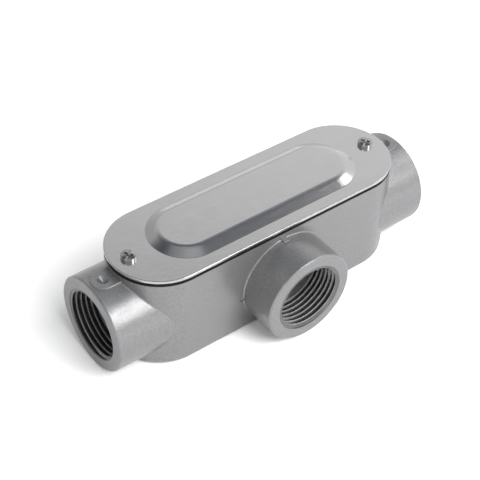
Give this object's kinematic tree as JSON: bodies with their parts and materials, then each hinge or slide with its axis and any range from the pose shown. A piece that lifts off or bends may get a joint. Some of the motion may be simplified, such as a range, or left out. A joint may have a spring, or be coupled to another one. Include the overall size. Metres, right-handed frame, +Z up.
{
  "type": "conduit body",
  "caption": "Die-cast T conduit body: a long box with a threaded hub at each end and one on its side, closed by a gasketed, screwed cover with a raised panel.",
  "frame": {"origin": "middle of the flat base face, under the middle of the run", "axes": "+Z up from the base to the cover; +X along the run, out of the right hub; the branch hub points to -Y"},
  "size_m": [0.1308, 0.05, 0.0404],
  "materials": {
    "casting": "satin die-cast aluminium with a fine grain",
    "gasket": "matt black rubber sheet",
    "cover": "satin pressed sheet",
    "screw": "bright zinc plate"
  },
  "bodies": {
    "root": {"body_casting": "casting", "cover_gasket": "gasket", "cover_plate": "cover", "cover_screw_left": "screw", "cover_screw_right": "screw"}
  },
  "joints": []
}
